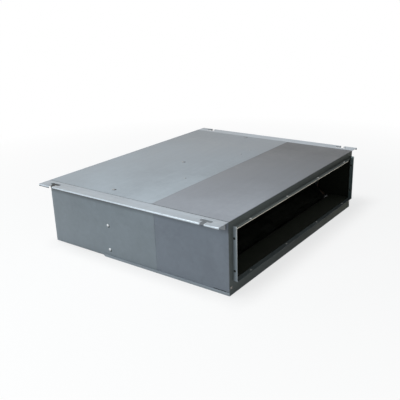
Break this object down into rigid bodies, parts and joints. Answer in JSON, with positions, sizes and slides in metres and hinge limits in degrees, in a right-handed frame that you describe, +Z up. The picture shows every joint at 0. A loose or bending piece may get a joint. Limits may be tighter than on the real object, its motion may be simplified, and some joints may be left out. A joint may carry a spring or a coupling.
{
  "type": "ducted air conditioner",
  "caption": "Slim ducted air conditioner for a ceiling void: flanged outlet, hanger rails, slanted coil over a drain pan, twin blowers on one motor, and a slide-out filter.",
  "frame": {"origin": "middle of the casing's underside, on the front tray", "axes": "+X along the width, towards the pipes and the electrical box; air leaves towards -Y; +Z up"},
  "size_m": [0.8656, 0.656, 0.2],
  "materials": {
    "galvanised_steel": "galvanised, faint spangle",
    "front_panel_steel": "galvanised, duller and warmer",
    "rail_steel": "bright galvanised with worn edges",
    "outlet_steel": "galvanised front in shade",
    "bright_steel": "bright steel",
    "motor_can": "satin paint",
    "dark_plastic": "moulded plastic",
    "black_foam": "closed-cell foam",
    "rubber": "moulded rubber",
    "copper": "bright copper tube",
    "brass": "machined brass",
    "aluminium": "mill finish",
    "filter_cloth": "woven nylon",
    "circuit_board": "solder mask"
  },
  "bodies": {
    "casing": {"left_hanger_rail": "rail_steel", "right_hanger_rail": "rail_steel", "front_top_panel": "front_panel_steel", "rear_top_panel": "galvanised_steel", "left_front_side": "front_panel_steel", "left_rear_side": "galvanised_steel", "right_front_side": "front_panel_steel", "right_rear_side": "galvanised_steel", "outlet_front_panel": "outlet_steel", "bottom_front_tray": "galvanised_steel", "fan_access_panel": "galvanised_steel", "return_air_frame": "galvanised_steel", "filter_channel_top": "galvanised_steel", "filter_channel_bottom": "galvanised_steel", "fan_deck": "galvanised_steel", "left_scroll_upper": "dark_plastic", "left_scroll_lower": "dark_plastic", "right_scroll_upper": "dark_plastic", "right_scroll_lower": "dark_plastic", "motor_body": "motor_can", "left_motor_bearing": "bright_steel", "right_motor_bearing": "bright_steel", "left_rubber_mount": "rubber", "right_rubber_mount": "rubber", "left_motor_strap": "bright_steel", "right_motor_strap": "bright_steel", "motor_bracket": "galvanised_steel", "coil_fins": "aluminium", "left_coil_plate": "aluminium", "right_coil_plate": "aluminium", "gas_header": "copper", "liquid_header": "copper", "gas_pipe": "copper", "liquid_pipe": "copper", "gas_flare_nut": "brass", "liquid_flare_nut": "brass", "pipe_plate": "galvanised_steel", "drain_pan": "black_foam", "front_drain_spout": "dark_plastic", "rear_drain_spout": "dark_plastic", "drain_plug": "rubber", "outlet_floor_foam": "black_foam", "top_lining": "black_foam", "left_lining": "black_foam", "right_lining": "black_foam", "electrical_box": "galvanised_steel", "electrical_box_cover": "galvanised_steel", "control_board": "circuit_board", "terminal_block": "dark_plastic", "fan_capacitor": "bright_steel", "cable_grommet": "rubber"},
    "rotor": {"motor_shaft": "bright_steel", "left_blower_wheel": "dark_plastic", "right_blower_wheel": "dark_plastic"},
    "filter": {"filter_frame": "dark_plastic", "filter_cloth": "filter_cloth"}
  },
  "joints": [
    {"name": "fan_spin", "type": "hinge", "parent": "casing", "child": "rotor", "pos_m": [0, 0.1929, 0.08999], "axis": [1, 0, 0], "continuous": true},
    {"name": "filter_slide", "type": "slide", "parent": "casing", "child": "filter", "axis": [1, 0, 0], "range_m": [0, 0.66]}
  ]
}
